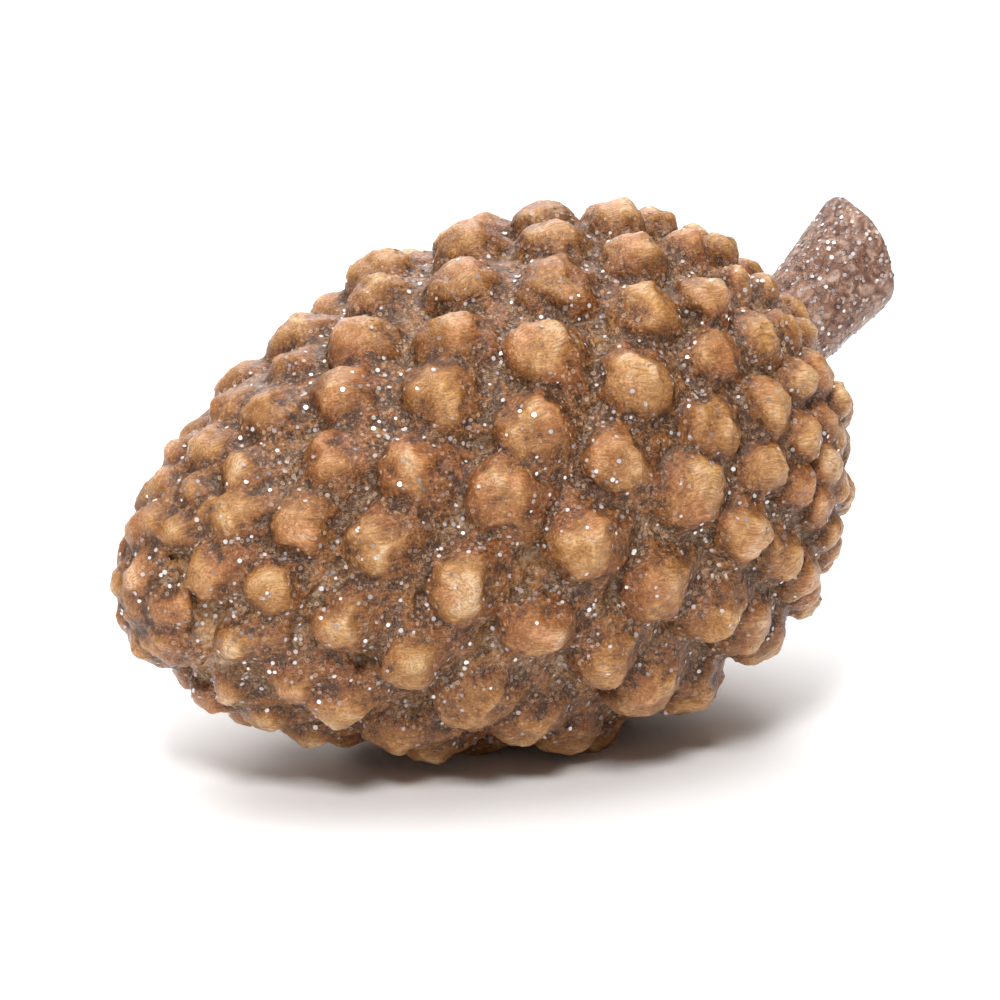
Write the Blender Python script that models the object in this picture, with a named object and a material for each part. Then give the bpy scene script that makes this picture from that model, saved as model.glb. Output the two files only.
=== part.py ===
"""Decorative pine cone lying on its side: one body with knob-like scales, and a short flared stem.

Metres, +Z up. The cone's axis runs from its tip, at -X, to its wide end and stem, at +X, and
rises a little on the way. The origin is on the surface that the cone lies on, under the middle
of its box.
"""

import bisect
import math
import random

import bpy
import bmesh
from mathutils import Matrix, Vector

# Body, measured over the tops of the scales
BODY_LENGTH = 0.0945
BODY_RADIUS = 0.0316
EGG_SHAPE = 0.25  # how far the widest place lies from the middle, towards the stem
BODY_SIDES = 24
BODY_RINGS = 13

# Scales: one spiral from the tip to the wide end, in equal shares of the surface
SCALE_AREA = 145.1e-6
SPIRAL_STEP = math.radians(34.066)
FIRST_ANGLE = math.radians(49.23)
SPIRAL_FROM = -0.93
SPIRAL_TO = 0.998
SCALE_HEIGHT = 0.0070
SCALE_WIDTH = 0.0064
HOLLOW_DEPTH = 0.84  # of a scale's height
ROUNDING = 1.4  # 1 gives a scale with a diamond outline, 2 a round one
SCALE_SIDES = 6
LEAN_MIDDLE = math.radians(14.0)
LEAN_CHANGE = math.radians(14.0)
VARIATION = 0.08
SEED = 7

# How much smaller the scales get towards the tip and towards the wide end, and how late
TIP_FALL = 0.707
TIP_POWER = 2.45
WIDE_END_FALL = 0.957
WIDE_END_POWER = 2.34
LEAST_SIZE = 0.58

# Uneven growth. A scale's turn round the axis, in degrees: on the top side, on the +Y side, on
# the top side towards the stem, and a twist that grows towards both ends
TURN_ON_TOP = 3.73
TURN_ON_SIDE = -6.00
TURN_ON_TOP_TO_STEM = 6.82
TURN_TWIST = 7.97
# And its move along the axis, in half lengths: on the top side, on the +Y side, and on top and
# bottom alike
MOVE_ON_TOP = -0.042
MOVE_ON_SIDE = 0.042
MOVE_ON_TOP_AND_BOTTOM = -0.008

# Height below the top and width of each outline of a scale, as parts of its height and width
SCALE_OUTLINES = ((1.15, 1.0), (0.45, 0.75), (0.09, 0.40))

# Ring of small scales that closes the tip, and the one in its middle
TIP_RING_COUNT = 6
TIP_RING_AT = -0.978
TIP_SCALE = 0.50

# Stem
STEM_ROOT = Vector((0.0393, 0.0012, 0.0052))
STEM_BEND = Vector((0.0482, 0.0014, 0.0098))
STEM_END = Vector((0.0562, 0.0012, 0.0160))
STEM_RADIUS = 0.0055
STEM_END_RADIUS = 0.0067
STEM_FLARE_POWER = 1.8
STEM_CUT_TILT = math.radians(18.0)
STEM_SIDES = 14
STEM_RINGS = 9
CLEARANCE = 0.0003
STEM_FREE_ZONE = 0.0068  # no scale stands nearer than this to the middle of the stem

# Rest: the axis rises towards the stem, and the lowest scales have small flats to lie on
REST_PITCH = math.radians(8.0)
REST_ROLL = math.radians(5.5)
REST_FLAT_DEPTH = 0.0012

CONE_COLOUR = (0.262, 0.133, 0.055, 1.0)
STEM_COLOUR = (0.216, 0.143, 0.118, 1.0)


def clear_scene():
    for obj in list(bpy.data.objects):
        bpy.data.objects.remove(obj, do_unlink=True)


def painted(name, colour, roughness):
    """A lacquered paint finish."""
    finish = bpy.data.materials.new(name)
    finish.use_nodes = True
    shader = finish.node_tree.nodes["Principled BSDF"]
    shader.inputs["Base Color"].default_value = colour
    shader.inputs["Roughness"].default_value = roughness
    shader.inputs["Metallic"].default_value = 0.0
    return finish


def new_object(name, mesh, finish=None):
    obj = bpy.data.objects.new(name, mesh)
    bpy.context.scene.collection.objects.link(obj)
    if finish:
        mesh.materials.append(finish)
    return obj


def radius_at(u):
    """Radius over the tops of the scales, at u from -1 at the tip to 1 at the wide end."""
    return BODY_RADIUS * math.sqrt(max(0.0, 1.0 - u * u)) * (1.0 + EGG_SHAPE * u)


def size_at(u):
    """Size of a scale there, where 1 is a scale in the middle."""
    fall, power = (TIP_FALL, TIP_POWER) if u < 0 else (WIDE_END_FALL, WIDE_END_POWER)
    return max(LEAST_SIZE, 1.0 - fall * abs(u) ** power)


def surface_frame(u, angle):
    """Point over the scales' tops, direction outwards and direction towards the stem."""
    step = 1e-4
    low = max(-1.0, u - step)
    high = min(1.0, u + step)
    along = (high - low) * BODY_LENGTH / 2
    out = radius_at(high) - radius_at(low)
    around = Vector((0.0, -math.sin(angle), math.cos(angle)))
    point = Vector((u * BODY_LENGTH / 2, 0.0, 0.0)) + radius_at(u) * around
    tangent = (Vector((along, 0.0, 0.0)) + out * around).normalized()
    normal = (Vector((-out, 0.0, 0.0)) + along * around).normalized()
    return point, normal, tangent


def uneven(u, angle):
    """Moves a place on the even spiral to where the cone really grew it."""
    side, top = math.sin(angle), math.cos(angle)
    turn = TURN_ON_TOP * top + TURN_ON_SIDE * side
    turn += (TURN_ON_TOP_TO_STEM * top + TURN_TWIST * math.sin(2 * angle)) * u
    move = MOVE_ON_TOP * top + MOVE_ON_SIDE * side + MOVE_ON_TOP_AND_BOTTOM * math.cos(2 * angle)
    move *= 1 - u * u
    return max(-1.0, min(1.0, u + move)), angle + math.radians(turn)


def spiral_places():
    """(u, angle) of each scale: every scale has the same share of the surface, scaled by its size."""
    steps = 4000
    shares = [0.0]
    for i in range(steps):
        u = -1.0 + 2.0 * (i + 0.5) / steps
        ahead = radius_at(min(1.0, u + 1e-4)) - radius_at(max(-1.0, u - 1e-4))
        slope = ahead / 2e-4
        band = 2 * math.pi * radius_at(u) * math.hypot(BODY_LENGTH / 2, slope) * 2.0 / steps
        shares.append(shares[-1] + band / (SCALE_AREA * size_at(u) ** 2))
    places = []
    for k in range(int(shares[-1])):
        u = -1.0 + 2.0 * bisect.bisect(shares, k + 0.5) / steps
        if SPIRAL_FROM < u < SPIRAL_TO:
            places.append(uneven(u, FIRST_ANGLE + k * SPIRAL_STEP))
    return places


def scale_mesh(width, length, height, twist):
    """A blunt pyramid with a rounded diamond outline, its top at the origin and its root below."""
    bm = bmesh.new()
    rings = []
    for depth, share in SCALE_OUTLINES:
        ring = []
        for i in range(SCALE_SIDES):
            turn = 2 * math.pi * i / SCALE_SIDES
            across = (abs(math.cos(turn)) / width) ** ROUNDING
            along = (abs(math.sin(turn)) / length) ** ROUNDING
            reach = share * (across + along) ** (-1.0 / ROUNDING)
            spot = Vector((reach * math.cos(turn + twist), reach * math.sin(turn + twist), 0.0))
            spot.z = -depth * height
            ring.append(bm.verts.new(spot))
        rings.append(ring)
    bm.faces.new(reversed(rings[0]))
    for low, high in zip(rings, rings[1:]):
        for i in range(SCALE_SIDES):
            j = (i + 1) % SCALE_SIDES
            bm.faces.new((low[i], low[j], high[j], high[i]))
    top = bm.verts.new((0.0, 0.0, 0.0))
    for i in range(SCALE_SIDES):
        bm.faces.new((rings[-1][i], rings[-1][(i + 1) % SCALE_SIDES], top))
    mesh = bpy.data.meshes.new("scale")
    bm.to_mesh(mesh)
    bm.free()
    return mesh


def add_scale(u, angle, size, draw, collection):
    """One scale on the body, leaning towards the tip."""
    point, normal, tangent = surface_frame(u, angle)
    lean = LEAN_MIDDLE - LEAN_CHANGE * u + draw.uniform(-1, 1) * VARIATION
    up = (normal * math.cos(lean) - tangent * math.sin(lean)).normalized()
    across = tangent.cross(up).normalized()
    along = up.cross(across).normalized()
    width = SCALE_WIDTH * size * (1 + draw.uniform(-1, 1) * VARIATION)
    length = SCALE_WIDTH * size * (1 + draw.uniform(-1, 1) * VARIATION)
    height = SCALE_HEIGHT * size * (1 + draw.uniform(-1, 1) * VARIATION)
    mesh = scale_mesh(width, length, height, draw.uniform(-1, 1) * VARIATION)
    turn = Matrix((across, along, up)).transposed().to_4x4()
    mesh.transform(Matrix.Translation(point) @ turn)
    obj = bpy.data.objects.new("scale", mesh)
    collection.objects.link(obj)


def core_mesh():
    """The body under the scales, as deep as the hollows between them."""
    bm = bmesh.new()
    rings = []
    for i in range(1, BODY_RINGS):
        u = -math.cos(math.pi * i / BODY_RINGS)
        ring = []
        for j in range(BODY_SIDES):
            angle = 2 * math.pi * (j + 0.5 * (i % 2)) / BODY_SIDES
            point, normal, _ = surface_frame(u, angle)
            ring.append(bm.verts.new(point - normal * SCALE_HEIGHT * HOLLOW_DEPTH * size_at(u)))
        rings.append(ring)
    for low, high in zip(rings, rings[1:]):
        for j in range(BODY_SIDES):
            k = (j + 1) % BODY_SIDES
            bm.faces.new((low[j], high[j], high[k], low[k]))
    for ring, u, turned in ((rings[0], -1.0, False), (rings[-1], 1.0, True)):
        sunk = BODY_LENGTH / 2 - SCALE_HEIGHT * HOLLOW_DEPTH * size_at(u)
        pole = bm.verts.new((math.copysign(sunk, u), 0.0, 0.0))
        for j in range(BODY_SIDES):
            k = (j + 1) % BODY_SIDES
            bm.faces.new((ring[k], ring[j], pole) if turned else (ring[j], ring[k], pole))
    bmesh.ops.recalc_face_normals(bm, faces=bm.faces)
    mesh = bpy.data.meshes.new("core")
    bm.to_mesh(mesh)
    bm.free()
    return mesh


def stem_point(t):
    """Middle line of the stem, from its root at 0 to its cut end at 1."""
    return STEM_ROOT * (1 - t) ** 2 + STEM_BEND * 2 * t * (1 - t) + STEM_END * t * t


def stem_mesh(extra):
    """The stem, or with some extra the space that is kept free round its root."""
    bm = bmesh.new()
    rings = []
    for i in range(STEM_RINGS):
        t = i / (STEM_RINGS - 1)
        ahead = stem_point(t + 0.01) - stem_point(t - 0.01)
        forward = ahead.normalized()
        side = forward.cross(Vector((0.0, 0.0, 1.0))).normalized()
        up = side.cross(forward).normalized()
        radius = STEM_RADIUS + (STEM_END_RADIUS - STEM_RADIUS) * t**STEM_FLARE_POWER
        ring = []
        for j in range(STEM_SIDES):
            angle = 2 * math.pi * j / STEM_SIDES
            reach = (radius + extra) * (side * math.cos(angle) + up * math.sin(angle))
            slant = math.tan(STEM_CUT_TILT) * t * reach.dot(up)
            start = -extra if i == 0 else 0.0
            ring.append(bm.verts.new(stem_point(t) + reach + forward * (start + slant)))
        rings.append(ring)
    for low, high in zip(rings, rings[1:]):
        for j in range(STEM_SIDES):
            k = (j + 1) % STEM_SIDES
            bm.faces.new((low[j], low[k], high[k], high[j]))
    bm.faces.new(reversed(rings[0]))
    bm.faces.new(rings[-1])
    bmesh.ops.recalc_face_normals(bm, faces=bm.faces)
    mesh = bpy.data.meshes.new("stem")
    bm.to_mesh(mesh)
    bm.free()
    return mesh


def apply_boolean(obj, operation, other=None, collection=None, solver="EXACT"):
    """Joins or cuts, and leaves the result as plain mesh."""
    modifier = obj.modifiers.new("join", "BOOLEAN")
    modifier.operation = operation
    modifier.solver = solver
    if collection:
        modifier.operand_type = "COLLECTION"
        modifier.collection = collection
    else:
        modifier.object = other
    bpy.context.view_layer.objects.active = obj
    bpy.ops.object.modifier_apply(modifier=modifier.name)


def near_stem(point):
    steps = 20
    return min((point - stem_point(i / steps)).length for i in range(steps + 1)) < STEM_FREE_ZONE


def make_cone(finish):
    """The body with all of its scales, joined into one solid."""
    draw = random.Random(SEED)
    collection = bpy.data.collections.new("scales")
    bpy.context.scene.collection.children.link(collection)
    for u, angle in spiral_places():
        if not near_stem(surface_frame(u, angle)[0]):
            add_scale(u, angle, size_at(u), draw, collection)
    for i in range(TIP_RING_COUNT):
        angle = 2 * math.pi * i / TIP_RING_COUNT
        add_scale(TIP_RING_AT, angle, TIP_SCALE, draw, collection)
    add_scale(-1.0, 0.0, TIP_SCALE, draw, collection)
    print(len(collection.objects), "scales")
    cone = new_object("cone", core_mesh(), finish)
    apply_boolean(cone, "UNION", collection=collection, solver="MANIFOLD")
    for obj in list(collection.objects):
        bpy.data.objects.remove(obj, do_unlink=True)
    bpy.data.collections.remove(collection)
    return cone


def cut_away(obj, mesh):
    """Takes the space inside this mesh out of the object."""
    cutter = new_object("cutter", mesh)
    cutter.display_type = "WIRE"
    cutter.hide_render = True
    apply_boolean(obj, "DIFFERENCE", other=cutter, solver="MANIFOLD")
    bpy.data.objects.remove(cutter, do_unlink=True)


def lay_down(pieces):
    """Turns the pieces to how they lie, with the lowest scales cut flat at the surface."""
    turn = Matrix.Rotation(-REST_PITCH, 4, "Y") @ Matrix.Rotation(REST_ROLL, 4, "X")
    for piece in pieces:
        piece.data.transform(turn)
    points = [v.co for piece in pieces for v in piece.data.vertices]
    low = Vector([min(p[i] for p in points) for i in range(3)])
    high = Vector([max(p[i] for p in points) for i in range(3)])
    shift = Vector((-(low.x + high.x) / 2, -(low.y + high.y) / 2, -low.z - REST_FLAT_DEPTH))
    for piece in pieces:
        piece.data.transform(Matrix.Translation(shift))
    size = 2 * BODY_LENGTH
    bm = bmesh.new()
    bmesh.ops.create_cube(bm, size=size, matrix=Matrix.Translation((0.0, 0.0, -size / 2)))
    below = bpy.data.meshes.new("below")
    bm.to_mesh(below)
    bm.free()
    cut_away(pieces[0], below)


clear_scene()
cone = make_cone(painted("cone_paint", CONE_COLOUR, 0.35))
cut_away(cone, stem_mesh(CLEARANCE))
stem = new_object("stem", stem_mesh(0.0), painted("stem_paint", STEM_COLOUR, 0.45))
lay_down([cone, stem])
stem.data.shade_smooth()
stem.data.set_sharp_from_angle(angle=math.radians(40))
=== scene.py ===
# %% [markdown]
# # A cast pine cone, dressed for its photograph
#
# The object is an ornament of cast resin in the form of a closed pine cone. It lies on its side,
# painted golden brown, rubbed with a dark wash that stays in the hollows, sprinkled with fine
# glitter and dipped in clear lacquer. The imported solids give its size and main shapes. This
# script puts finer pieces in their place, in the same metres and the same frame.

import bisect
import math
import random

import bmesh
import bpy
import numpy as np
from mathutils import Matrix, Vector


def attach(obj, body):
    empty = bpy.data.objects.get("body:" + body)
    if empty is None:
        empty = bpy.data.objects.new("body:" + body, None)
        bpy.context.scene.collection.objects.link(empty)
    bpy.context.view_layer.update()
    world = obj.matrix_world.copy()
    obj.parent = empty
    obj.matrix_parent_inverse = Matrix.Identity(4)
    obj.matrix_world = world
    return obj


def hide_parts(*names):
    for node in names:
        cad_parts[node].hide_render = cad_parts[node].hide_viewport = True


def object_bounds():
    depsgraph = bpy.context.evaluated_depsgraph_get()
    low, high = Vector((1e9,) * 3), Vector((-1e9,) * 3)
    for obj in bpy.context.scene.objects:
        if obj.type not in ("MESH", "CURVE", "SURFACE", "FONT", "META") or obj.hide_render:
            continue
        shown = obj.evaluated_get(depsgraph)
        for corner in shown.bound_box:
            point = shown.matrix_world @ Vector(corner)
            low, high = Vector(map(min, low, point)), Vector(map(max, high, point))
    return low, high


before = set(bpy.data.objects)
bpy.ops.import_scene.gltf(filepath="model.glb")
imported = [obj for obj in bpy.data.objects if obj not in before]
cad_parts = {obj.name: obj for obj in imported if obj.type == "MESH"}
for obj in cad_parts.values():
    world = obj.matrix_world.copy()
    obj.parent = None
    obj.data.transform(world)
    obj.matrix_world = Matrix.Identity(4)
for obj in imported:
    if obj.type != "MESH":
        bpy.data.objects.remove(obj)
cad_low, cad_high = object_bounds()
print("nodes:", sorted(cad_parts))
print("box in mm:", [round(1000 * v, 1) for v in (*cad_low, *cad_high)])

# %% [markdown]
# ## Three small helpers
#
# Operators act on everything that is selected, so each step starts with nothing selected. Paint
# colours are written as the sRGB hex values that a picture editor shows, while Blender's shaders
# want linear light, so one function turns the first into the second. The last function adds one
# shader node with its settings and its links, which keeps a long material readable.


# %% Helpers
def start_clean():
    """Leaves edit mode and deselects everything."""
    if bpy.context.object and bpy.context.object.mode != "OBJECT":
        bpy.ops.object.mode_set(mode="OBJECT")
    bpy.ops.object.select_all(action="DESELECT")


def colour(code):
    """sRGB hex to linear RGBA."""
    parts = [int(code[i : i + 2], 16) / 255 for i in (1, 3, 5)]
    linear = [p / 12.92 if p <= 0.04045 else ((p + 0.055) / 1.055) ** 2.4 for p in parts]
    return (*linear, 1.0)


def add(material, kind, links=None, stops=None, **settings):
    """Adds a shader node. A link is a socket to connect or a value for that input."""
    tree = material.node_tree
    node = tree.nodes.new("ShaderNode" + kind)
    for name, value in settings.items():
        setattr(node, name, value)
    for name, value in (links or {}).items():
        if isinstance(value, bpy.types.NodeSocket):
            tree.links.new(value, node.inputs[name])
        else:
            node.inputs[name].default_value = value
    if stops:
        elements = node.color_ramp.elements
        while len(elements) < len(stops):
            elements.new(1.0)
        for element, (place, shade) in zip(elements, stops):
            element.position = place
            element.color = colour(shade)
    return node


def new_material(name):
    """An empty material with its output node, and that node."""
    material = bpy.data.materials.new(name)
    material.use_nodes = True
    material.node_tree.nodes.clear()
    return material, add(material, "OutputMaterial")


# %% [markdown]
# ## Where the cone lies
#
# The cone is easiest to build round its own axis, with the tip at -X. It lies down afterwards:
# the scales of the lower side carry it, so its axis climbs a little towards the stem. One
# matrix holds that turn and shift, and every piece gets it once, at the end.

# %% The cone's own frame
REST_PITCH = math.radians(8.0)
REST_ROLL = math.radians(5.5)
REST_SHIFT = Vector((-0.0047938, 0.0000925, 0.0299452))
LAY_DOWN = (
    Matrix.Translation(REST_SHIFT)
    @ Matrix.Rotation(-REST_PITCH, 4, "Y")
    @ Matrix.Rotation(REST_ROLL, 4, "X")
)
print("middle of the cone's axis in mm:", [round(1000 * v, 2) for v in LAY_DOWN.translation])

# %% [markdown]
# ## Camera
#
# The photograph looks at the tip's side from a little above, with a long lens from about
# 0.7 m. The camera looks along that direction. It stands 2.9 mm to the right of the line through
# the cone's middle, because the photograph is centred on cone and stem together.

# %% Camera
AZIMUTH = math.radians(-30.0)
ELEVATION = math.radians(17.2)
DISTANCE = 0.733
FIELD = 0.1186
ASIDE = 0.00288
ABOVE = 0.00027

back = Vector(
    (
        math.sin(AZIMUTH) * math.cos(ELEVATION),
        -math.cos(AZIMUTH) * math.cos(ELEVATION),
        math.sin(ELEVATION),
    )
)
right = Vector((math.cos(AZIMUTH), math.sin(AZIMUTH), 0.0))
upward = back.cross(right)
start_clean()
bpy.ops.object.camera_add()
camera = bpy.context.object
camera.name = "photo_camera"
camera.data.sensor_width = 36.0
camera.data.lens = 36.0 * DISTANCE / FIELD
camera.location = LAY_DOWN.translation + back * DISTANCE + right * ASIDE + upward * ABOVE
camera.rotation_euler = back.to_track_quat("Z", "Y").to_euler()
bpy.context.scene.camera = camera
print("lens in mm:", round(camera.data.lens, 1))

# %% [markdown]
# ## Studio
#
# The object stands on white paper. A very large softbox overhead lights the paper until it goes
# pure white, and only the soft shadow under the cone stays grey. A smaller one in front and to
# the left makes the cream highlights on the tops, and one behind parts the edges from the
# paper. The surroundings are kept dim, because a wet lacquer mirrors them, and bright ones would
# lay a grey veil over the dark hollows.

# %% Floor
bpy.context.scene.view_settings.view_transform = "Standard"
start_clean()
bpy.ops.mesh.primitive_plane_add(size=8.0, location=(0.0, 0.0, 0.0))
floor = bpy.context.object
floor.name = "white_paper"
paper, paper_out = new_material("matte_white_paper")
paper_shader = add(paper, "BsdfPrincipled", {"Base Color": colour("#fafafa"), "Roughness": 0.9})
paper.node_tree.links.new(paper_shader.outputs["BSDF"], paper_out.inputs["Surface"])
floor.data.materials.append(paper)
print("floor, m wide:", round(floor.dimensions.x, 1))

# %% Surroundings and lights
SURROUNDINGS = 0.13  # strength of the white world
LIT_POINT = Vector((0.0, 0.0, 0.03))

# Name, place, size in metres and power in watts
SOFTBOXES = (
    ("softbox_above", (0.00, 0.15, 1.30), 1.50, 22.0),
    ("softbox_front", (-0.52, -0.68, 0.98), 0.30, 12.2),
    ("softbox_behind", (0.35, 0.95, 0.60), 0.80, 7.0),
)

world = bpy.data.worlds.new("white_surroundings")
world.use_nodes = True
backdrop = world.node_tree.nodes["Background"]
backdrop.inputs["Color"].default_value = colour("#ffffff")
backdrop.inputs["Strength"].default_value = SURROUNDINGS
bpy.context.scene.world = world
for name, place, size, power in SOFTBOXES:
    start_clean()
    bpy.ops.object.light_add(type="AREA", location=place)
    lamp = bpy.context.object
    lamp.name = name
    lamp.data.size = size
    lamp.data.energy = power
    lamp.rotation_euler = (Vector(place) - LIT_POINT).to_track_quat("Z", "Y").to_euler()
print("lights:", [name for name, *_ in SOFTBOXES])

# %% [markdown]
# ## The body under the scales
#
# Under its scales a cone is an egg on its side, thickest a little towards the stem. A UV sphere
# has its rings ready round one axis, so it is turned to lie along X and stretched to the
# length, and then each ring is scaled to the radius of the egg at that place. The body lies
# almost a scale's height under the tops, and it shows as the floor of the hollows.

# %% Shape of the body
BODY_LENGTH = 0.0945
BODY_RADIUS = 0.0316
EGG_SHAPE = 0.25
SCALE_HEIGHT = 0.0070
CORE_DEPTH = 0.95  # of a scale's height
TIP_FALL = 0.707
TIP_POWER = 2.45
WIDE_END_FALL = 0.957
WIDE_END_POWER = 2.34
LEAST_SIZE = 0.58


def radius_at(u):
    """Radius over the tops of the scales, at u from -1 at the tip to 1 at the wide end."""
    return BODY_RADIUS * math.sqrt(max(0.0, 1.0 - u * u)) * (1.0 + EGG_SHAPE * u)


def size_at(u):
    """Size of a scale there, where 1 is a scale in the middle."""
    fall, power = (TIP_FALL, TIP_POWER) if u < 0 else (WIDE_END_FALL, WIDE_END_POWER)
    return max(LEAST_SIZE, 1.0 - fall * abs(u) ** power)


def surface_frame(u, angle):
    """Point over the scales' tops, direction outwards and direction towards the stem."""
    step = 1e-4
    low = max(-1.0, u - step)
    high = min(1.0, u + step)
    along = (high - low) * BODY_LENGTH / 2
    out = radius_at(high) - radius_at(low)
    around = Vector((0.0, -math.sin(angle), math.cos(angle)))
    point = Vector((u * BODY_LENGTH / 2, 0.0, 0.0)) + radius_at(u) * around
    tangent = (Vector((along, 0.0, 0.0)) + out * around).normalized()
    normal = (Vector((-out, 0.0, 0.0)) + along * around).normalized()
    return point, normal, tangent


# %% The body from a UV sphere
start_clean()
bpy.ops.mesh.primitive_uv_sphere_add(
    segments=48, ring_count=32, radius=1.0, rotation=(0.0, math.pi / 2, 0.0)
)
body = bpy.context.object
body.name = "cone_visual"
bpy.ops.object.transform_apply(location=True, rotation=True, scale=True)
bpy.ops.object.mode_set(mode="EDIT")
bpy.ops.mesh.select_all(action="DESELECT")
body_mesh = bmesh.from_edit_mesh(body.data)
levels = sorted({round(v.co.x, 5) for v in body_mesh.verts})
for level in levels:
    for v in body_mesh.verts:
        v.select_set(abs(v.co.x - level) < 1e-4)
    bmesh.update_edit_mesh(body.data)
    depth = SCALE_HEIGHT * CORE_DEPTH * size_at(level)
    ring = math.sqrt(max(1e-9, 1.0 - level * level))
    wide = max(1e-6, radius_at(level) - depth * ring) / ring
    length = BODY_LENGTH / 2 - depth
    bpy.ops.transform.resize(value=(length, wide, wide), center_override=(0.0, 0.0, 0.0))
bpy.ops.object.mode_set(mode="OBJECT")
print("rings shaped:", len(levels))

# %% [markdown]
# ## One scale
#
# A closed cone shows only the thick end of each scale: a blunt pyramid with a soft ridge from
# side to side, steeper on the side of the tip. It starts as an eight-sided cylinder at its root,
# whose upper face is extruded and scaled five times up to the blunt top, so that it keeps a
# few broad facets. Its flanks reach far out at the foot and its top is narrow, so it stands
# clear of its neighbours. The two corners across the cone are pulled out to give the ridge.

# %% Model the scale
SCALE_WIDTH = 0.0064

# Height below the top and half width of each outline, as parts of the scale's height and width
KNOB = ((0.92, 1.08), (0.62, 0.86), (0.31, 0.69), (0.08, 0.49), (-0.02, 0.24))
KNOB_ROOT = (1.30, 1.26)
KNOB_HOOK = 0.44  # how far the top moves towards the tip, in scale widths
KNOB_RIDGE = 1.08  # how much wider it is across the cone, at the ridge

start_clean()
bpy.ops.mesh.primitive_cylinder_add(
    vertices=8, radius=KNOB_ROOT[1], depth=0.1, location=(0.0, 0.0, -KNOB_ROOT[0] - 0.05)
)
knob = bpy.context.object
knob.name = "scale_pattern"
bpy.ops.object.transform_apply(location=True, rotation=True, scale=True)
bpy.ops.object.mode_set(mode="EDIT")
bpy.ops.mesh.select_all(action="DESELECT")
knob_mesh = bmesh.from_edit_mesh(knob.data)
for face in knob_mesh.faces:
    face.select_set(face.normal.z > 0.9)
bmesh.update_edit_mesh(knob.data)
height_now, width_now = -KNOB_ROOT[0], KNOB_ROOT[1]
for drop, width in KNOB:
    rise = -drop - height_now
    bpy.ops.mesh.extrude_region_move(TRANSFORM_OT_translate={"value": (0.0, 0.0, rise)})
    grow = width / width_now
    middle = (0.0, 0.0, -drop)
    bpy.ops.transform.resize(value=(grow, grow, 1.0), center_override=middle)
    bpy.ops.transform.translate(value=(0.0, -KNOB_HOOK * rise, 0.0))
    height_now, width_now = -drop, width
bpy.ops.mesh.select_all(action="DESELECT")
knob_mesh = bmesh.from_edit_mesh(knob.data)
for v in knob_mesh.verts:
    v.select_set(abs(v.co.x) > 0.9 * math.hypot(v.co.x, v.co.y) and v.co.z > -1.1)
bmesh.update_edit_mesh(knob.data)
bpy.ops.transform.resize(value=(KNOB_RIDGE, 1.0, 1.0), center_override=(0.0, 0.0, 0.0))
bpy.ops.object.mode_set(mode="OBJECT")
print("faces of one scale:", len(knob.data.polygons))

# %% [markdown]
# ## All the scales
#
# Scales grow one after the other, each turned by the same step round the axis, and that is
# what makes the crossing spirals that everyone knows from cones. Each scale gets the same
# share of the surface, smaller towards both ends. Small seeded differences in size and lean keep
# them from looking stamped. These are the rule and the values of the solid underneath. The
# tops look as if the master of the casting was carved by hand, so a second seeded draw twists
# each of them a little and lets it slope its own way.

# %% Places on the spiral
SCALE_AREA = 145.1e-6
SPIRAL_STEP = math.radians(34.066)
FIRST_ANGLE = math.radians(49.23)
SPIRAL_FROM = -0.93
SPIRAL_TO = 0.998
LEAN_MIDDLE = math.radians(14.0)
LEAN_CHANGE = math.radians(14.0)
VARIATION = 0.08
TIP_RING_COUNT = 6
TIP_RING_AT = -0.978
TIP_SCALE = 0.50
STEM_ROOT = Vector((0.0393, 0.0012, 0.0052))
STEM_BEND = Vector((0.0482, 0.0014, 0.0098))
STEM_END = Vector((0.0562, 0.0012, 0.0160))
STEM_FREE_ZONE = 0.0068

# Uneven growth. A scale's turn round the axis, in degrees: on the top side, on the +Y side, on
# the top side towards the stem, and a twist that grows towards both ends
TURN_ON_TOP = 3.73
TURN_ON_SIDE = -6.00
TURN_ON_TOP_TO_STEM = 6.82
TURN_TWIST = 7.97
# And its move along the axis, in half lengths: on the top side, on the +Y side, and on top and
# bottom alike
MOVE_ON_TOP = -0.042
MOVE_ON_SIDE = 0.042
MOVE_ON_TOP_AND_BOTTOM = -0.008


def stem_point(t):
    """Middle line of the stem, from its root at 0 to its cut end at 1."""
    return STEM_ROOT * (1 - t) ** 2 + STEM_BEND * 2 * t * (1 - t) + STEM_END * t * t


def near_stem(point):
    return min((point - stem_point(i / 20)).length for i in range(21)) < STEM_FREE_ZONE


def uneven(u, angle):
    """Moves a place on the even spiral to where the cone really grew it."""
    side, top = math.sin(angle), math.cos(angle)
    turn = TURN_ON_TOP * top + TURN_ON_SIDE * side
    turn += (TURN_ON_TOP_TO_STEM * top + TURN_TWIST * math.sin(2 * angle)) * u
    move = MOVE_ON_TOP * top + MOVE_ON_SIDE * side + MOVE_ON_TOP_AND_BOTTOM * math.cos(2 * angle)
    move *= 1 - u * u
    return max(-1.0, min(1.0, u + move)), angle + math.radians(turn)


def spiral_places():
    """(u, angle) of each scale: all have the same share of the surface, scaled by their size."""
    steps = 4000
    shares = [0.0]
    for i in range(steps):
        u = -1.0 + 2.0 * (i + 0.5) / steps
        ahead = radius_at(min(1.0, u + 1e-4)) - radius_at(max(-1.0, u - 1e-4))
        slope = ahead / 2e-4
        band = 2 * math.pi * radius_at(u) * math.hypot(BODY_LENGTH / 2, slope) * 2.0 / steps
        shares.append(shares[-1] + band / (SCALE_AREA * size_at(u) ** 2))
    places = []
    for k in range(int(shares[-1])):
        u = -1.0 + 2.0 * bisect.bisect(shares, k + 0.5) / steps
        if SPIRAL_FROM < u < SPIRAL_TO:
            places.append(uneven(u, FIRST_ANGLE + k * SPIRAL_STEP))
    return places


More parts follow.
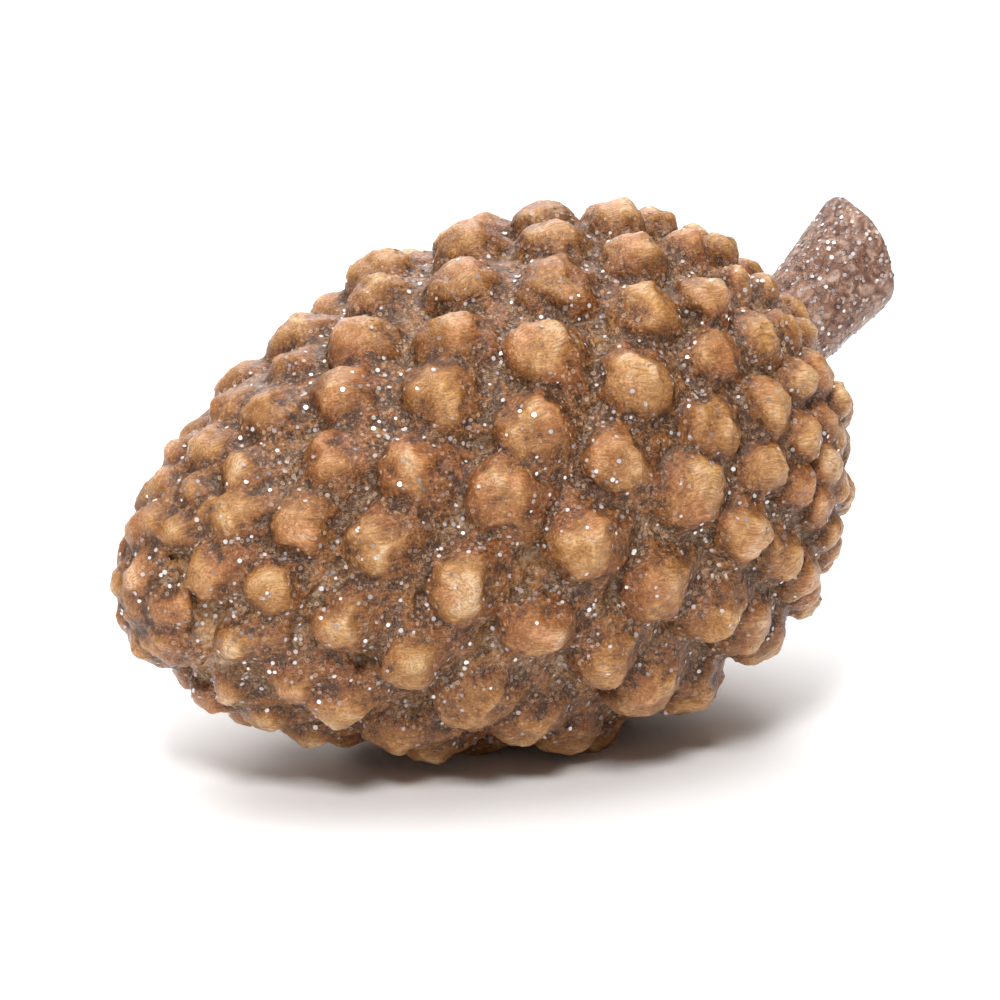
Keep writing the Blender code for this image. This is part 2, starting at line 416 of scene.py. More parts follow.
spots = [(u, a, size_at(u)) for u, a in spiral_places() if not near_stem(surface_frame(u, a)[0])]
tip_ring = [2 * math.pi * i / TIP_RING_COUNT for i in range(TIP_RING_COUNT)]
spots += [(TIP_RING_AT, a, TIP_SCALE) for a in tip_ring] + [(-1.0, 0.0, TIP_SCALE)]
print("scales:", len(spots))

# %% Copy the scale to every place
CARVED_TWIST = 0.4  # radians, either way
CARVED_SLOPE_ACROSS = (-0.22, 0.22)
CARVED_SLOPE_ALONG = (-0.20, 0.22)

draw = random.Random(7)
carver = random.Random(20)
scales = []
for u, angle, size in spots:
    point, normal, tangent = surface_frame(u, angle)
    lean = LEAN_MIDDLE - LEAN_CHANGE * u + draw.uniform(-1, 1) * VARIATION
    up = (normal * math.cos(lean) - tangent * math.sin(lean)).normalized()
    across = tangent.cross(up).normalized()
    along = up.cross(across).normalized()
    width = SCALE_WIDTH * size * (1 + draw.uniform(-1, 1) * VARIATION)
    length = SCALE_WIDTH * size * (1 + draw.uniform(-1, 1) * VARIATION)
    height = SCALE_HEIGHT * size * (1 + draw.uniform(-1, 1) * VARIATION)
    carved = carver.uniform(-CARVED_TWIST, CARVED_TWIST)
    twist = Matrix.Rotation(draw.uniform(-1, 1) * VARIATION + carved, 4, "Z")
    slope = Matrix.Identity(4)
    slope[2][0] = carver.uniform(*CARVED_SLOPE_ACROSS)
    slope[2][1] = carver.uniform(*CARVED_SLOPE_ALONG)
    turn = Matrix((across, along, up)).transposed().to_4x4()
    copy = knob.copy()
    copy.data = knob.data.copy()
    copy.data.transform(
        Matrix.Translation(point)
        @ turn
        @ Matrix.Diagonal((width, length, height, 1.0))
        @ slope
        @ twist
    )
    bpy.context.collection.objects.link(copy)
    scales.append(copy)
bpy.data.objects.remove(knob, do_unlink=True)
print("copies:", len(scales))

# %% [markdown]
# ## One casting
#
# In the mould all scales and the body are one surface with soft fillets, filled further by the
# lacquer. So the copies are joined, and a voxel Remesh wraps them in one closed skin. Smoothing
# rounds the tops and fills the valleys. Four Displace modifiers then give back what the
# master had, from coarse to fine: knobs that bulge unevenly, flat cuts as of a knife, thin
# ridges between them, and a finely wrinkled skin.

# %% Join the copies
start_clean()
for piece in scales:
    piece.select_set(True)
body.select_set(True)
bpy.context.view_layer.objects.active = body
bpy.ops.object.join()
cone = body
print("faces before the remesh:", len(cone.data.polygons))

# %% Remesh and relief
VOXEL = 0.00048  # metres

# Width and rise of each relief, in metres
BULGE_WIDTH = 0.0062
BULGE_RISE = 0.0018
FACET_WIDTH = 0.0046
FACET_RISE = 0.0006
RIDGE_WIDTH = 0.0036
RIDGE_RISE = 0.0003
WRINKLE_WIDTH = 0.0013
WRINKLE_RISE = 0.00055


def finish_with(obj, kind, **settings):
    """Adds a modifier with its settings and applies it."""
    modifier = obj.modifiers.new(kind.lower(), kind)
    for name, value in settings.items():
        setattr(modifier, name, value)
    bpy.context.view_layer.objects.active = obj
    bpy.ops.object.modifier_apply(modifier=modifier.name)


def clouds(name, size, depth):
    """A cloud texture with its lumps about this many metres wide."""
    texture = bpy.data.textures.new(name, "CLOUDS")
    texture.noise_scale = size
    texture.noise_depth = depth
    return texture


bulges = clouds("bulges", BULGE_WIDTH, 1)
facets = bpy.data.textures.new("facets", "VORONOI")
facets.noise_scale = FACET_WIDTH
ridges = bpy.data.textures.new("ridges", "MUSGRAVE")
ridges.musgrave_type = "RIDGED_MULTIFRACTAL"
ridges.noise_scale = RIDGE_WIDTH
wrinkles = clouds("wrinkles", WRINKLE_WIDTH, 2)
finish_with(cone, "REMESH", mode="VOXEL", voxel_size=VOXEL, use_smooth_shade=True)
finish_with(cone, "SMOOTH", factor=0.5, iterations=5)
finish_with(cone, "DISPLACE", texture=bulges, strength=BULGE_RISE, mid_level=0.5)
finish_with(cone, "DISPLACE", texture=facets, strength=FACET_RISE, mid_level=0.5)
finish_with(cone, "SMOOTH", factor=0.5, iterations=4)
finish_with(cone, "DISPLACE", texture=ridges, strength=RIDGE_RISE, mid_level=0.5)
finish_with(cone, "DISPLACE", texture=wrinkles, strength=WRINKLE_RISE, mid_level=0.5)
print("points of the skin:", len(cone.data.vertices))

# %% [markdown]
# ## Socket, resting flats and size
#
# The stem stands in a socket at the wide end, and the lowest scales are worn flat where the
# cone lies. The socket is cut with a cylinder along the stem's root, a little wider than the
# stem. Then the skin gets its place in the world, is cut at the floor, and is thinned to a
# fair number of triangles.

# %% Cut the socket and lay the cone down
STEM_RADIUS = 0.0055
CLEARANCE = 0.0003
SOCKET_LENGTH = 0.020

start_clean()
bpy.ops.mesh.primitive_cylinder_add(
    vertices=28, radius=STEM_RADIUS + CLEARANCE, depth=SOCKET_LENGTH
)
socket = bpy.context.object
toward = (stem_point(0.3) - stem_point(0.0)).normalized()
turned = toward.to_track_quat("Z", "Y").to_matrix().to_4x4()
start = stem_point(0.0) - toward * CLEARANCE
socket.data.transform(Matrix.Translation(start + toward * SOCKET_LENGTH / 2) @ turned)
finish_with(cone, "BOOLEAN", object=socket, operation="DIFFERENCE", solver="MANIFOLD")
bpy.data.objects.remove(socket, do_unlink=True)
cone.data.transform(LAY_DOWN)
print("points with the socket:", len(cone.data.vertices))

# %% Cut at the floor and thin out
MOST_TRIANGLES = 190000
CUTTER_SIZE = 0.3

start_clean()
bpy.ops.mesh.primitive_cube_add(size=CUTTER_SIZE, location=(0.0, 0.0, -CUTTER_SIZE / 2))
below = bpy.context.object
finish_with(cone, "BOOLEAN", object=below, operation="DIFFERENCE", solver="MANIFOLD")
bpy.data.objects.remove(below, do_unlink=True)
count = sum(len(p.vertices) - 2 for p in cone.data.polygons)
if count > MOST_TRIANGLES:
    finish_with(cone, "DECIMATE", ratio=MOST_TRIANGLES / count)
cone.data.shade_smooth()
triangles = sum(len(p.vertices) - 2 for p in cone.data.polygons)
print("triangles:", count, "then", triangles)

# %% [markdown]
# ## How deep each point lies
#
# The paint differs from the tops to the hollows, and so does the glitter. Each point of the skin
# keeps a number for that, 0 on the tops and 1 at the bottom of a hollow, measured from the egg
# that passes over the tops. A material can read it as an attribute.

# %% Depth attribute
points = np.empty(3 * len(cone.data.vertices))
cone.data.vertices.foreach_get("co", points)
points = points.reshape(-1, 3)
back_up = np.array(LAY_DOWN.inverted())
own = points @ back_up[:3, :3].T + back_up[:3, 3]
u = np.clip(own[:, 0] / (BODY_LENGTH / 2), -0.999, 0.999)
over = BODY_RADIUS * np.sqrt(1 - u**2) * (1 + EGG_SHAPE * u)
grid = np.linspace(-0.999, 0.999, 400)
profile = BODY_RADIUS * np.sqrt(1 - grid**2) * (1 + EGG_SHAPE * grid)
slope = np.interp(u, grid, np.gradient(profile, grid * BODY_LENGTH / 2))
depth = (over - np.hypot(own[:, 1], own[:, 2])) / np.sqrt(1 + slope**2)
scale_size = np.interp(u, grid, [size_at(g) for g in grid])
hollow = np.clip(depth / (SCALE_HEIGHT * CORE_DEPTH * scale_size), 0.0, 1.0)
layer = cone.data.attributes.new("hollow", "FLOAT", "POINT")
layer.data.foreach_set("value", hollow.astype(np.float32))
print("hollow, mean:", round(float(hollow.mean()), 3))

# %% [markdown]
# ## Where the skin folds
#
# A wiped wash stays in every fold and leaves every ridge bare. To find them, each point is
# compared with the average of the points round it: in a fold that average lies above the
# skin, and on a ridge below it. Two reaches are kept, one for fine wrinkles and one for whole
# knobs.

# %% Fold attributes
edges = np.empty(2 * len(cone.data.edges), dtype=np.int64)
cone.data.edges.foreach_get("vertices", edges)
edges = edges.reshape(-1, 2)
normals = np.empty(3 * len(cone.data.vertices))
cone.data.vertices.foreach_get("normal", normals)
normals = normals.reshape(-1, 3)
neighbours = np.bincount(edges.ravel(), minlength=len(points)).astype(float)


def averaged(values, rounds):
    """Each point's average with its neighbours, over and over."""
    for _ in range(rounds):
        total = values.copy()
        for axis in range(3):
            total[:, axis] += np.bincount(edges[:, 0], values[edges[:, 1], axis], len(values))
            total[:, axis] += np.bincount(edges[:, 1], values[edges[:, 0], axis], len(values))
        values = total / (1.0 + neighbours)[:, None]
    return values


# Name, rounds of averaging and the rise in metres that counts as a full fold
FOLDS = (("fine_fold", 4, 0.00012), ("wide_fold", 30, 0.0008))
for name, rounds, reach in FOLDS:
    rise = np.einsum("ij,ij->i", averaged(points, rounds) - points, normals)
    fold = np.clip(0.5 + 0.5 * rise / reach, 0.0, 1.0)
    layer = cone.data.attributes.new(name, "FLOAT", "POINT")
    layer.data.foreach_set("value", fold.astype(np.float32))
    print(name, "from the bare to the filled:", np.round(np.percentile(fold, (5, 50, 95)), 2))

# %% [markdown]
# ## Finish of the cone: antiqued paint under lacquer, with painted light
#
# The resin is painted golden brown and rubbed, a dark wash is brushed over and wiped off the
# tops, and clear lacquer with glitter covers it all. The material is built up in the same
# order, one layer over the other. The ground comes first. Rubbing wears it to cream where a
# spot is exposed, so the ramp runs on how sheltered a spot is: by its depth, by the fold that
# it lies in, and by patches where the paint is thicker. The same ramp also paints light: its
# cream on the summits is partly a painted highlight, and its reddish brown down the flanks is
# partly painted shade.

# %% Ground paint
resin, resin_out = new_material("antiqued_paint_and_painted_light")
place = add(resin, "TexCoord").outputs["Object"]
deep = add(resin, "Attribute", attribute_name="hollow").outputs["Fac"]
fine = add(resin, "Attribute", attribute_name="fine_fold").outputs["Fac"]
wide = add(resin, "Attribute", attribute_name="wide_fold").outputs["Fac"]

# patches of thicker and thinner paint, about 5 mm wide
patches = add(
    resin,
    "TexNoise",
    {"Vector": place, "Scale": 210.0, "Detail": 4.0, "Roughness": 0.6, "Distortion": 1.0},
).outputs["Fac"]

# rubbed bare to cream on the summits, golden round them, reddish brown down the flanks: the
# cream is partly a painted highlight and the brown flanks are partly painted shade
shelter = add(
    resin, "Math", {0: wide, 1: 0.55, 2: deep}, operation="MULTIPLY_ADD"
).outputs["Value"]
patchy_shelter = add(
    resin, "Math", {0: patches, 1: 0.9, 2: shelter}, operation="MULTIPLY_ADD"
).outputs["Value"]
# how far a spot is rubbed, and also where the painted highlight and painted shade fall
wear_and_painted_light = add(
    resin, "MapRange", {"Value": patchy_shelter, "From Min": -0.10, "From Max": 2.0}
).outputs["Result"]
ground = add(
    resin,
    "ValToRGB",
    {"Fac": wear_and_painted_light},
    stops=[
        (0.21, "#edcba2"),
        (0.28, "#d3a067"),
        (0.37, "#b47e40"),
        (0.48, "#98602a"),
        (0.66, "#a36a2f"),
        (0.90, "#bb8a50"),
    ],
).outputs["Color"]

# the paint turns from a yellowish to a pinkish brown over a knob or two
tinge = add(resin, "TexNoise", {"Vector": place, "Scale": 130.0, "Detail": 3.0}).outputs["Fac"]
tinge_shade = add(
    resin,
    "ValToRGB",
    {"Fac": tinge},
    stops=[(0.40, "#f8f0d4"), (0.50, "#ffffff"), (0.60, "#fceae4")],
).outputs["Color"]
tinged = add(
    resin,
    "Mix",
    {0: 1.0, 6: ground, 7: tinge_shade},
    data_type="RGBA",
    blend_type="MULTIPLY",
).outputs[2]
print("nodes with the ground:", len(resin.node_tree.nodes))

# %% [markdown]
# ## Strokes of the brush
#
# A dry brush leaves hair-like strokes. A noise that is drawn out along one axis looks like
# them, but on its own it would run straight through all the knobs. The hand turned the brush
# round each knob, so another noise bends the coordinates first.

# %% Brush strokes
# turns of the brush, about 7 mm wide, that move the strokes by up to 3.6 mm
bend = add(resin, "TexNoise", {"Vector": place, "Scale": 150.0, "Detail": 2.0}).outputs["Color"]
bent = add(
    resin,
    "VectorMath",
    {0: bend, 1: (0.0036, 0.0036, 0.0036), 2: place},
    operation="MULTIPLY_ADD",
).outputs["Vector"]
brush = add(resin, "Mapping", {"Vector": bent, "Scale": (450.0, 4200.0, 4200.0)}).outputs["Vector"]

# hair-like strokes, 0.24 mm apart and 2.2 mm long, some darker and some lighter than the paint
strokes = add(
    resin,
    "TexNoise",
    {"Vector": brush, "Scale": 1.0, "Detail": 3.0, "Roughness": 0.65},
).outputs["Fac"]
stroke_tone = add(
    resin,
    "ValToRGB",
    {"Fac": strokes},
    stops=[(0.34, "#7d6450"), (0.46, "#c4b5a6"), (0.55, "#e6dfd8"), (0.66, "#ffffff")],
).outputs["Color"]
stroked = add(
    resin,
    "Mix",
    {0: 0.70, 6: tinged, 7: stroke_tone},
    data_type="RGBA",
    blend_type="MULTIPLY",
).outputs[2]
print("nodes with the strokes:", len(resin.node_tree.nodes))

# %% [markdown]
# ## Dark wash
#
# The wash is a thin dark brown that runs down the flanks, dries in ragged blots and stays in
# every fold. Its weight on the flanks, thin on the tops and full lower down, is partly painted
# shade. A noise gives the blots, and depth and folds are added to it, so that one threshold
# decides both where the wash lies and how ragged its edge is. Finer grains of wash and of bare
# paint come on top.

# %% Wash and grains
# the dark wash lies in ragged blots about 1 mm wide, on the flanks and in every fold; kept thin
# on the tops and full down the flanks, it is partly painted shade there
blots = add(
    resin,
    "TexNoise",
    {"Vector": place, "Scale": 900.0, "Detail": 5.0, "Roughness": 0.80, "Distortion": 1.2},
).outputs["Fac"]
# thin wash on the tops, full wash from part-way down the flanks: partly painted shade
flank_wash_and_shade = add(
    resin,
    "MapRange",
    {"Value": deep, "From Min": 0.04, "From Max": 0.30, "To Min": -0.20, "To Max": -0.01},
).outputs["Result"]
folds = add(resin, "Math", {0: fine, 1: 0.26, 2: flank_wash_and_shade}, operation="MULTIPLY_ADD").outputs["Value"]
knob_side = add(
    resin, "Math", {0: wide, 1: 0.06, 2: folds}, operation="MULTIPLY_ADD"
).outputs["Value"]
wash_sum = add(resin, "Math", {0: blots, 1: knob_side}, operation="ADD").outputs["Value"]
wash_and_shade_mask = add(
    resin, "MapRange", {"Value": wash_sum, "From Min": 0.59, "From Max": 0.74, "To Max": 0.86}
).outputs["Result"]
washed = add(
    resin, "Mix", {0: wash_and_shade_mask, 6: stroked, 7: colour("#3a1d0a")}, data_type="RGBA"
).outputs[2]

# grains of the wash and of bare paint, 0.4 mm wide, finer on the real one than shows here
grains = add(
    resin,
    "TexNoise",
    {"Vector": place, "Scale": 2300.0, "Detail": 4.0, "Roughness": 0.7, "Distortion": 0.6},
).outputs["Fac"]
grain_tone = add(
    resin,
    "ValToRGB",
    {"Fac": grains},
    stops=[(0.33, "#54351b"), (0.43, "#cdbba8"), (0.52, "#ffffff")],
).outputs["Color"]
grain_share = add(
    resin,
    "MapRange",
    {"Value": deep, "From Min": 0.05, "From Max": 0.5, "To Min": 0.2, "To Max": 0.9},
).outputs["Result"]
grained = add(
    resin,
    "Mix",
    {0: grain_share, 6: washed, 7: grain_tone},
    data_type="RGBA",
    blend_type="MULTIPLY",
).outputs[2]
bare = add(
    resin, "MapRange", {"Value": grains, "From Min": 0.56, "From Max": 0.68, "To Max": 0.55}
).outputs["Result"]
rubbed = add(
    resin, "Mix", {0: bare, 6: grained, 7: colour("#d6ad80")}, data_type="RGBA"
).outputs[2]
print("nodes with the wash:", len(resin.node_tree.nodes))

# %% [markdown]
# ## Lacquer in the hollows
#
# In the hollows the lacquer stands thick. It is milky there, brown where it is thin and cream
# where it is thick, and pale fibres and dried drips lie in it.

# %% Milky lacquer and fibres
# clouds of milk, 1.6 mm wide
milk = add(
    resin,
    "TexNoise",
    {"Vector": place, "Scale": 620.0, "Detail": 4.0, "Roughness": 0.7, "Distortion": 1.2},
).outputs["Fac"]
milk_shade = add(
    resin,
    "ValToRGB",
    {"Fac": milk},
    stops=[(0.36, "#45240a"), (0.42, "#8f5a22"), (0.51, "#bd864c"), (0.60, "#dfbd98")],
).outputs["Color"]
milk_sum = add(resin, "Math", {0: milk, 1: deep}, operation="ADD").outputs["Value"]
milk_share = add(
    resin, "MapRange", {"Value": milk_sum, "From Min": 1.10, "From Max": 1.50, "To Max": 0.60}
).outputs["Result"]
filled = add(
    resin, "Mix", {0: milk_share, 6: rubbed, 7: milk_shade}, data_type="RGBA"
).outputs[2]

# pale fibres and dried drips of lacquer, 0.1 mm thick, mostly low down: the lines along which a
# noise passes its middle value
curls = add(
    resin,
    "TexNoise",
    {"Vector": place, "Scale": 420.0, "Detail": 3.0, "Roughness": 0.6, "Distortion": 2.5},
).outputs["Fac"]
off_line = add(resin, "Math", {0: curls, 1: 0.5}, operation="SUBTRACT").outputs["Value"]
distance = add(resin, "Math", {0: off_line}, operation="ABSOLUTE").outputs["Value"]
line = add(
    resin, "MapRange", {"Value": distance, "From Min": 0.016, "From Max": 0.0, "To Max": 0.75}
).outputs["Result"]
low_down = add(
    resin, "MapRange", {"Value": deep, "From Min": 0.12, "From Max": 0.60, "To Min": 0.12}
).outputs["Result"]
fibre = add(resin, "Math", {0: line, 1: low_down}, operation="MULTIPLY").outputs["Value"]
fibred = add(
    resin, "Mix", {0: fibre, 6: filled, 7: colour("#bb9670")}, data_type="RGBA"
).outputs[2]
print("nodes with the lacquer:", len(resin.node_tree.nodes))

# %% [markdown]
# ## Glitter inside the lacquer
#
# Most flakes lie below the surface of the lacquer and show as faint discs with a brighter rim. A
# Voronoi texture has one point in each of its cells, and the distance from that point gives a
# disc. The colour of a cell is random, so one part of it decides whether the flake is there
# and another how bright it is; that random brightness is partly a painted glint, standing for
# how each flake catches the light. The stem's paint uses the same function later.


# %% Flakes in the lacquer
def flake_discs(material, vector, cells, rim, middle):
    """Discs with a bright rim, one in each cell, and the random colour of each cell."""
    pattern = add(material, "TexVoronoi", {"Vector": vector, "Scale": cells, "Randomness": 1.0})
    distance = pattern.outputs["Distance"]
    outer = add(
        material, "MapRange", {"Value": distance, "From Min": rim, "From Max": rim - 0.07}
    ).outputs["Result"]
    inner = add(
        material,
        "MapRange",
        {"Value": distance, "From Min": 0.16, "From Max": 0.26, "To Min": middle},
    ).outputs["Result"]
    disc = add(material, "Math", {0: outer, 1: inner}, operation="MULTIPLY").outputs["Value"]
    return disc, add(material, "SeparateColor", {"Color": pattern.outputs["Color"]})


# discs 0.5 mm wide, as craft glitter is
disc, chance = flake_discs(resin, place, 1200.0, 0.36, 0.45)
needed = add(
    resin,
    "MapRange",
    {"Value": deep, "From Min": 0.1, "From Max": 0.8, "To Min": 0.88, "To Max": 0.25},
).outputs["Result"]
present = add(
    resin, "Math", {0: chance.outputs["Red"], 1: needed}, operation="GREATER_THAN"
).outputs["Value"]
seen = add(resin, "Math", {0: disc, 1: present}, operation="MULTIPLY").outputs["Value"]
# random brightness of each flake, partly its pale colour and partly a painted glint
bright = add(
    resin, "MapRange", {"Value": chance.outputs["Green"], "To Min": 0.20, "To Max": 0.85}
).outputs["Result"]
faint = add(resin, "Math", {0: seen, 1: bright}, operation="MULTIPLY").outputs["Value"]
speckled = add(
    resin, "Mix", {0: faint, 6: fibred, 7: colour("#cbac90")}, data_type="RGBA"
).outputs[2]
print("nodes with the flakes:", len(resin.node_tree.nodes))

# %% [markdown]
# ## Wet shine
#
# Wet lacquer shows as a coat with low roughness, and the paint below is far more matte. The
# same bump serves both. It is made of the rough skin of the casting, the strokes' own
# thickness and the grit of the glitter.

# %% Bump and shine
# rough skin of the casting, with lumps 0.7 mm wide and finer ones in them
grain = add(
    resin,
    "TexNoise",
    {"Vector": place, "Scale": 1500.0, "Detail": 4.0, "Roughness": 0.74, "Distortion": 0.8},
).outputs["Fac"]
skin = add(resin, "Math", {0: grain, 1: strokes}, operation="ADD").outputs["Value"]
grit = add(resin, "Math", {0: seen, 1: 0.5, 2: skin}, operation="MULTIPLY_ADD").outputs["Value"]
bump = add(
    resin, "Bump", {"Height": grit, "Strength": 0.7, "Distance": 0.00028}
).outputs["Normal"]
shine = add(
    resin,
    "MapRange",
    {"Value": grain, "From Min": 0.3, "From Max": 0.7, "To Min": 0.34, "To Max": 0.55},
).outputs["Result"]
resin_shader = add(
    resin,
    "BsdfPrincipled",
    {
        "Base Color": speckled,
        "Roughness": shine,
        "IOR": 1.5,
        "Specular IOR Level": 0.3,
        "Coat Weight": 0.50,
        "Coat Roughness": 0.16,
        "Coat IOR": 1.5,
        "Normal": bump,
        "Coat Normal": bump,
    },
)
resin.node_tree.links.new(resin_shader.outputs["BSDF"], resin_out.inputs["Surface"])
cone.data.materials.clear()
cone.data.materials.append(resin)
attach(cone, "root")
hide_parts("cone")
print("nodes of the whole material:", len(resin.node_tree.nodes))

# %% [markdown]
# ## The stem
#
# The stalk is a short branch that bends upwards and widens like a trumpet to its slanting
# cut. A disc is extruded in steps along the bend, and each new ring is moved, scaled and
# turned. The slant grows along the way, so that the upper side of the cut reaches out furthest.
# Three insets, each moved out a little, dome the cut face.

# %% Model the stem
STEM_FLARE = 0.0075
STEM_FLARE_POWER = 1.5
STEM_CUT_TILT = math.radians(28.0)
STEM_STEPS = 12
STEM_SIDES = 32
STEM_DOME = ((0.0007, 0.0005), (0.0022, 0.0008), (0.0020, 0.0003))  # inset and rise
LUMP_WIDTH = 0.0055
LUMP_RISE = 0.0007
BARK_WIDTH = 0.0008
BARK_RISE = 0.00022


def stem_pitch(t):
    """Angle of the stem above the cone's axis there."""
    ahead = stem_point(t + 0.01) - stem_point(t - 0.01)
    return math.atan2(ahead.z, ahead.x)


def stem_radius(t):
    return STEM_RADIUS + (STEM_FLARE - STEM_RADIUS) * t**STEM_FLARE_POWER


start_clean()
bpy.ops.mesh.primitive_circle_add(
    vertices=STEM_SIDES,
    radius=STEM_RADIUS,
    fill_type="NGON",
    location=stem_point(0.0),
    rotation=(0.0, math.pi / 2 - stem_pitch(0.0), 0.0),
)
stem = bpy.context.object
stem.name = "stem_visual"
bpy.ops.object.transform_apply(location=True, rotation=True, scale=True)
bpy.ops.object.mode_set(mode="EDIT")
bpy.ops.mesh.select_all(action="SELECT")
for i in range(1, STEM_STEPS + 1):
    t = i / STEM_STEPS
    before = (i - 1) / STEM_STEPS
    move = stem_point(t) - stem_point(before)
    bpy.ops.mesh.extrude_region_move(TRANSFORM_OT_translate={"value": move})
    grow = stem_radius(t) / stem_radius(before)
    spot = stem_point(t)
    bpy.ops.transform.resize(value=(grow, grow, grow), center_override=spot)
    lift = stem_pitch(t) - stem_pitch(before) - STEM_CUT_TILT / STEM_STEPS
    bpy.ops.transform.rotate(value=lift, orient_axis="Y", center_override=spot)
end_normal = [f.normal.copy() for f in bmesh.from_edit_mesh(stem.data).faces if f.select][0]
for inset, rise in STEM_DOME:
    bpy.ops.mesh.inset(thickness=inset, depth=0.0)
    bpy.ops.transform.translate(value=end_normal * rise)
bpy.ops.mesh.select_all(action="SELECT")
bpy.ops.mesh.normals_make_consistent(inside=False)
bpy.ops.object.mode_set(mode="OBJECT")
print("the cut faces", [round(v, 2) for v in end_normal])

# %% Relief of the stem
lumps = clouds("lumps", LUMP_WIDTH, 1)
bark_relief = clouds("bark", BARK_WIDTH, 2)
finish_with(stem, "SUBSURF", levels=2, render_levels=2)
finish_with(stem, "DISPLACE", texture=lumps, strength=LUMP_RISE, mid_level=0.5)
finish_with(stem, "DISPLACE", texture=bark_relief, strength=BARK_RISE, mid_level=0.5)
stem.data.transform(LAY_DOWN)
stem.data.shade_smooth()
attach(stem, "root")
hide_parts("stem")
print("points of the stem:", len(stem.data.vertices))

# %% [markdown]
# ## Finish of the stem: glittered lacquer over bark
#
# The stem got the most glitter. Under it is a reddish brown with grey in it, rough like bark, and
# the flakes lie so close that their rims cover the colour like frost.

# %% Bark colours and frost of flakes
bark, bark_out = new_material("glittered_bark_paint")
bark_place = add(bark, "TexCoord").outputs["Object"]

# mottled brown, in specks 1.4 mm wide
mottle = add(
    bark,
    "TexNoise",
    {"Vector": bark_place, "Scale": 700.0, "Detail": 8.0, "Roughness": 0.7, "Distortion": 0.8},
).outputs["Fac"]
brown = add(
    bark,
    "ValToRGB",
    {"Fac": mottle},
    stops=[(0.36, "#40230f"), (0.45, "#70452c"), (0.53, "#936a52"), (0.63, "#bd9f8e")],
).outputs["Color"]

# flakes side by side, 0.5 mm wide; a random share of them is made bright in the frost colour,
# a painted glint
frost, luck = flake_discs(bark, bark_place, 1300.0, 0.38, 0.5)
painted_glint = add(
    bark,
    "MapRange",
    {"Value": luck.outputs["Green"], "From Min": 0.3, "To Min": 0.0, "To Max": 0.8},
).outputs["Result"]
frost_share = add(bark, "Math", {0: frost, 1: painted_glint}, operation="MULTIPLY").outputs["Value"]
frosted = add(
    bark, "Mix", {0: frost_share, 6: brown, 7: colour("#d3c8c8")}, data_type="RGBA"
).outputs[2]
print("nodes of the stem's colours:", len(bark.node_tree.nodes))

# %% Bump and shine of the stem
rough = add(
    bark, "Math", {0: frost, 1: 0.6, 2: mottle}, operation="MULTIPLY_ADD"
).outputs["Value"]
bark_bump = add(
    bark, "Bump", {"Height": rough, "Strength": 1.0, "Distance": 0.0003}
).outputs["Normal"]
bark_shader = add(
    bark,
    "BsdfPrincipled",
    {
        "Base Color": frosted,
        "Roughness": 0.5,
        "IOR": 1.5,
        "Coat Weight": 0.5,
        "Coat Roughness": 0.3,
        "Normal": bark_bump,
        "Coat Normal": bark_bump,
    },
)
bark.node_tree.links.new(bark_shader.outputs["BSDF"], bark_out.inputs["Surface"])
stem.data.materials.clear()
stem.data.materials.append(bark)
print("nodes of the stem's material:", len(bark.node_tree.nodes))

# %% [markdown]
# ## Loose glitter
#
# The flakes that catch the eye lie in the surface of the lacquer. Craft glitter is cut into
# hexagons from thin film. One flake is modelled as a flat six-sided cylinder and copied with small
# seeded tilts, mostly into the hollows and onto the stem. Each flake keeps a number for its
# tint, from brownish grey to white, and the white end of it is partly a painted glint.

# %% One flake
FLAKE_RADIUS = 0.00027
FLAKE_THICKNESS = 0.00006

start_clean()
bpy.ops.mesh.primitive_cylinder_add(vertices=6, radius=FLAKE_RADIUS, depth=FLAKE_THICKNESS)
flake = bpy.context.object
flake.name = "flake_pattern"
print("faces of a flake:", len(flake.data.polygons))


# %% How the flakes are scattered
INSIDE_BOX = 0.0004  # how far a flake stays inside the box of the solids
FLAKE_LIFT = 0.00004
FLAKE_LEAN = 0.45  # radians at most


def surface_of(obj):
    """Middle, normal and area of each face."""
    faces = obj.data.polygons
    middle = np.empty(3 * len(faces))
    faces.foreach_get("center", middle)
    normal = np.empty(3 * len(faces))
    faces.foreach_get("normal", normal)
    area = np.empty(len(faces))
    faces.foreach_get("area", area)
    return middle.reshape(-1, 3), normal.reshape(-1, 3), area


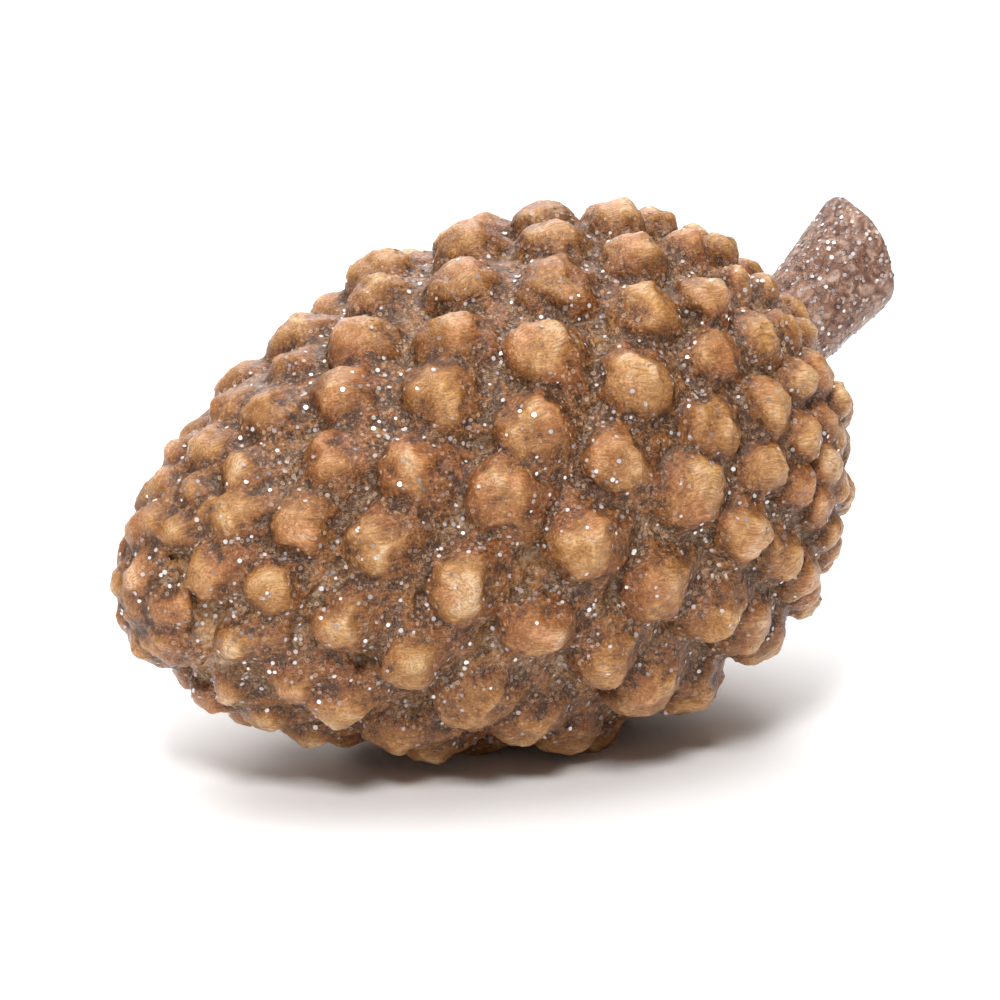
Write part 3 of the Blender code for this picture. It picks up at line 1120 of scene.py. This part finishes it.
def scatter(name, obj, weight, count, seed):
    """Copies the flake onto faces that are drawn by their area and weight, as one piece."""
    middle, normal, area = surface_of(obj)
    above = middle > np.array(cad_low) + INSIDE_BOX
    below_top = middle < np.array(cad_high) - INSIDE_BOX
    inside = np.all(above & below_top, 1)
    share = area * weight * inside
    lots = np.random.default_rng(seed)
    chosen = lots.choice(len(area), size=count, replace=False, p=share / share.sum())
    batch = bmesh.new()
    tint_and_glint = batch.verts.layers.float.new("tint_and_glint")
    for face in chosen:
        spin = Matrix.Rotation(lots.uniform(0.0, math.pi), 4, "Z")
        lean = Matrix.Rotation(lots.uniform(0.0, FLAKE_LEAN), 4, "X")
        stand = Vector(normal[face]).to_track_quat("Z", "Y").to_matrix().to_4x4()
        size = Matrix.Scale(lots.uniform(0.7, 1.15), 4)
        spot = Vector(middle[face]) + Vector(normal[face]) * FLAKE_LIFT
        copy = flake.data.copy()
        copy.transform(Matrix.Translation(spot) @ stand @ spin @ lean @ spin @ size)
        known = len(batch.verts)
        batch.from_mesh(copy)
        batch.verts.ensure_lookup_table()
        # each flake's random tint, whose white end is partly a painted glint
        shade = lots.uniform(0.0, 1.0)
        for v in batch.verts[known:]:
            v[tint_and_glint] = shade
        bpy.data.meshes.remove(copy)
    mesh = bpy.data.meshes.new(name)
    batch.to_mesh(mesh)
    batch.free()
    piece = bpy.data.objects.new(name, mesh)
    bpy.context.collection.objects.link(piece)
    return piece


print("flakes stay inside the box by mm:", 1000 * INSIDE_BOX)

# %% Scatter the flakes
FLAKES_ON_CONE = 4200
FLAKES_ON_STEM = 480

face_hollow = np.array([hollow[list(p.vertices)].mean() for p in cone.data.polygons])
cone_weight = 0.12 + face_hollow**1.5
stem_weight = np.ones(len(stem.data.polygons))
cone_glitter = scatter("cone_glitter", cone, cone_weight, FLAKES_ON_CONE, 11)
stem_glitter = scatter("stem_glitter", stem, stem_weight, FLAKES_ON_STEM, 12)
bpy.data.objects.remove(flake, do_unlink=True)
print("flakes:", len(cone_glitter.data.vertices) // 12, len(stem_glitter.data.vertices) // 12)

# %% [markdown]
# ## Finish of the glitter: metallised film under a thin coat
#
# Glitter film is plastic with a thin metal layer. In soft light from all round it shows as
# small pale discs, some white, some pinkish or brownish grey, and a few sparkle. Its colour is set
# over that range by each flake's random number, so the white ones are partly painted glint.

# %% Glitter film
film, film_out = new_material("pale_glitter_film")
tone = add(film, "Attribute", attribute_name="tint_and_glint").outputs["Fac"]
film_colour = add(
    film,
    "ValToRGB",
    {"Fac": tone},
    stops=[(0.0, "#947f74"), (0.50, "#b3a29c"), (0.80, "#d6cdcd"), (1.0, "#fffaf4")],
).outputs["Color"]
film_shader = add(
    film,
    "BsdfPrincipled",
    {"Base Color": film_colour, "Roughness": 0.25, "Metallic": 0.35, "Coat Weight": 0.6},
)
film.node_tree.links.new(film_shader.outputs["BSDF"], film_out.inputs["Surface"])
for piece, slot in ((cone_glitter, "cone_paint"), (stem_glitter, "stem_paint")):
    piece.data.materials.append(film)
    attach(piece, "root")
